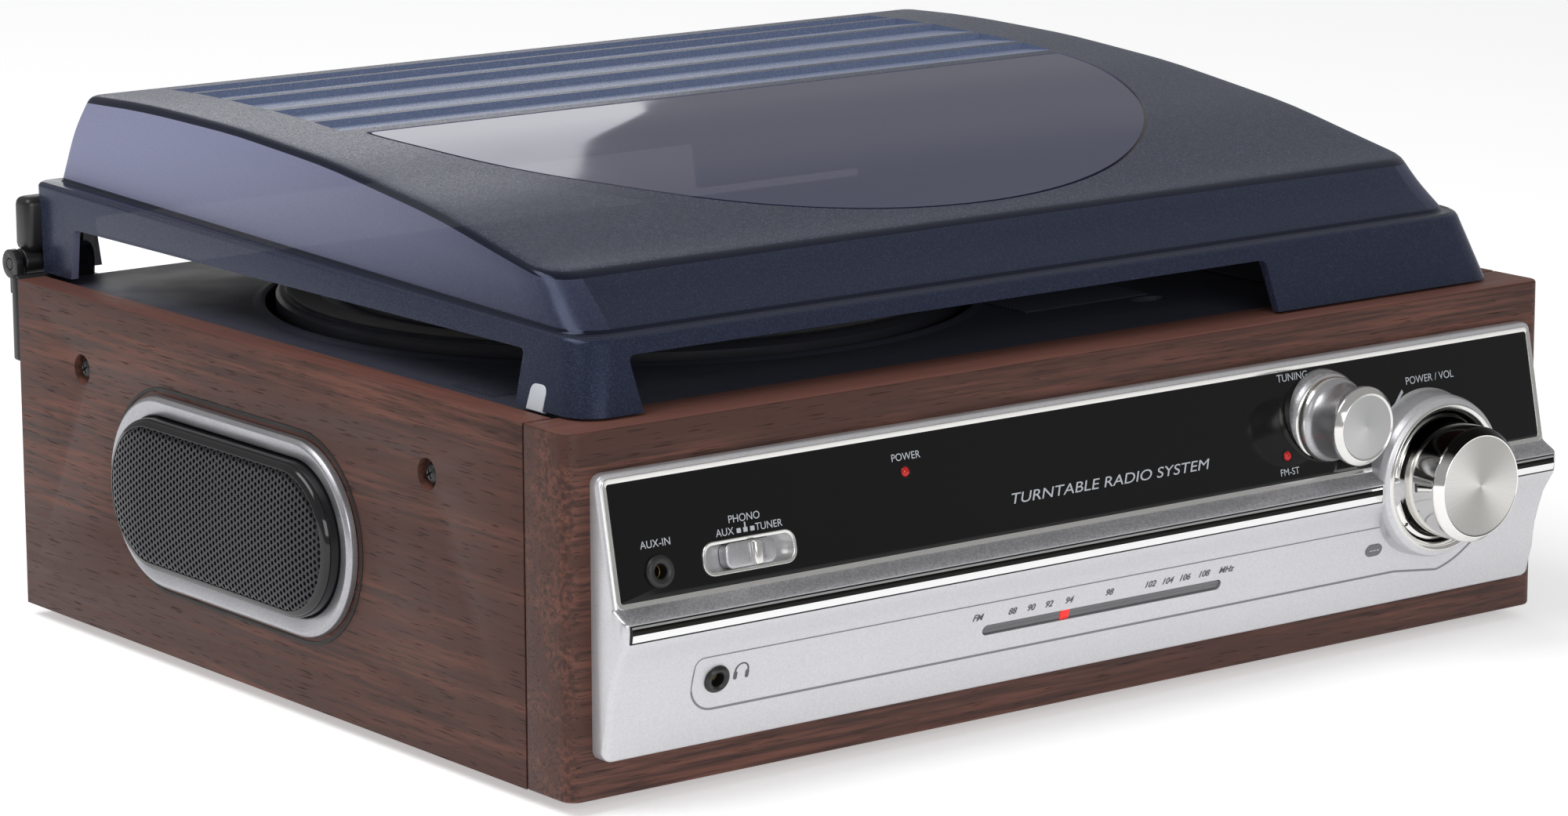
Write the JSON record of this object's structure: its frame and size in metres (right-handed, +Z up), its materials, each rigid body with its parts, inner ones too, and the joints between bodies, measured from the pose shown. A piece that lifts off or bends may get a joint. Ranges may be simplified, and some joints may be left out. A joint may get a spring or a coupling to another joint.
{
  "type": "record player",
  "caption": "Compact record player and FM radio in a dark walnut case with a sloping silver and black front, knobs at the right, side speakers and a smoked lid with open corners.",
  "frame": {"origin": "on the floor under the centre of the bounding box", "axes": "+X to the right seen from the front, +Z up, the controls face -Y"},
  "size_m": [0.348, 0.3142, 0.1519],
  "materials": {
    "walnut": "satin, fine dark grain",
    "fibreboard": "matte",
    "silver_paint": "satin, fine sparkle",
    "gloss_black": "mirror gloss",
    "chrome": "polished",
    "spun_aluminium": "satin, spun",
    "black_plastic": "satin",
    "deck_plastic": "fine texture",
    "smoked_plastic": "clear, smoked, polished",
    "rubber": "matte",
    "felt": "matte",
    "steel": "polished",
    "brass": "turned",
    "grille_black": "satin, punched",
    "red_lens": "clear red",
    "grey_lens": "clear grey",
    "circuit_green": "lacquered",
    "iron": "satin"
  },
  "bodies": {
    "cabinet": {"side_panel_left": "walnut", "side_panel_right": "walnut", "front_frame": "walnut", "rear_panel": "fibreboard", "bottom_board": "fibreboard", "foot_front_left": "rubber", "foot_front_right": "rubber", "foot_rear_left": "rubber", "foot_rear_right": "rubber", "deck_plate": "deck_plastic", "fascia": "silver_paint", "fascia_window": "gloss_black", "chrome_strip_left": "chrome", "chrome_strip_right": "chrome", "volume_escutcheon": "silver_paint", "volume_pot": "iron", "tuning_collar": "silver_paint", "tuning_capacitor": "grey_lens", "dial_lens": "grey_lens", "function_bezel": "silver_paint", "aux_jack": "black_plastic", "headphone_jack": "black_plastic", "power_lamp": "red_lens", "stereo_lamp": "red_lens", "speaker_bezel_left": "silver_paint", "speaker_bezel_right": "silver_paint", "speaker_grille_left": "grille_black", "speaker_grille_right": "grille_black", "speaker_driver_left": "iron", "speaker_driver_right": "iron", "spindle": "steel", "motor": "iron", "drive_belt": "rubber", "tonearm_base": "black_plastic", "arm_rest": "black_plastic", "hinge_bracket_left": "black_plastic", "hinge_bracket_right": "black_plastic", "hinge_pin_left": "steel", "hinge_pin_right": "steel", "main_board": "circuit_green", "transformer": "iron", "sound_sockets": "black_plastic", "cord_inlet": "rubber"},
    "platter": {"platter": "deck_plastic", "platter_bearing": "brass", "platter_mat": "felt"},
    "motor_shaft": {"motor_pulley": "brass"},
    "yoke": {"tonearm_yoke": "black_plastic"},
    "arm": {"tonearm": "black_plastic", "cartridge": "red_lens"},
    "clip": {"arm_clip": "black_plastic"},
    "lid": {"lid": "smoked_plastic", "hinge_block_left": "black_plastic", "hinge_block_right": "black_plastic"},
    "volume": {"volume_knob": "chrome"},
    "tuning": {"tuning_knob": "spun_aluminium"},
    "pointer": {"dial_pointer": "red_lens"},
    "function": {"function_switch": "silver_paint"},
    "speed": {"speed_switch": "black_plastic"},
    "auto_stop": {"auto_stop_switch": "black_plastic"}
  },
  "joints": [
    {"name": "platter_spin", "type": "hinge", "parent": "cabinet", "child": "platter", "pos_m": [-0.045, 0.0228, 0.1001], "axis": [0, 0, -1], "continuous": true},
    {"name": "motor_spin", "type": "hinge", "parent": "cabinet", "child": "motor_shaft", "pos_m": [-0.10228, 0.08008, 0.0846], "axis": [0, 0, -1], "continuous": true},
    {"name": "tonearm_swing", "type": "hinge", "parent": "cabinet", "child": "yoke", "pos_m": [0.118, 0.0888, 0.1121], "axis": [0, 0, -1], "range_deg": [0, 48]},
    {"name": "tonearm_lift", "type": "hinge", "parent": "yoke", "child": "arm", "pos_m": [0.118, 0.0888, 0.1121], "axis": [-1, 0, 0], "range_deg": [0, 4]},
    {"name": "clip_swing", "type": "hinge", "parent": "cabinet", "child": "clip", "pos_m": [0.1241, -0.0192, 0.1186], "axis": [0, -1, 0], "range_deg": [0, 100]},
    {"name": "lid_hinge", "type": "hinge", "parent": "cabinet", "child": "lid", "pos_m": [0, 0.1518, 0.1015], "axis": [-1, 0, 0], "range_deg": [0, 65]},
    {"name": "volume_turn", "type": "hinge", "parent": "cabinet", "child": "volume", "pos_m": [0.118, -0.1265, 0.0505], "axis": [0, 1, 0], "range_deg": [0, 300]},
    {"name": "tuning_turn", "type": "hinge", "parent": "cabinet", "child": "tuning", "pos_m": [0.0805, -0.1265, 0.071], "axis": [0, 1, 0], "range_deg": [-270, 620]},
    {"name": "pointer_slide", "type": "slide", "parent": "cabinet", "child": "pointer", "axis": [1, 0, 0], "range_m": [-0.022, 0.05]},
    {"name": "function_slide", "type": "slide", "parent": "cabinet", "child": "function", "axis": [1, 0, 0], "range_m": [-0.0055, 0.0055]},
    {"name": "speed_slide", "type": "slide", "parent": "cabinet", "child": "speed", "axis": [0, 1, 0], "range_m": [0, 0.012]},
    {"name": "auto_stop_slide", "type": "slide", "parent": "cabinet", "child": "auto_stop", "axis": [0, 1, 0], "range_m": [0, 0.006]}
  ],
  "couplings": [
    {"joint": "motor_spin", "follows": "platter_spin", "ratio": 14.4},
    {"joint": "pointer_slide", "follows": "tuning_turn", "m_per_rad": 0.004584}
  ]
}
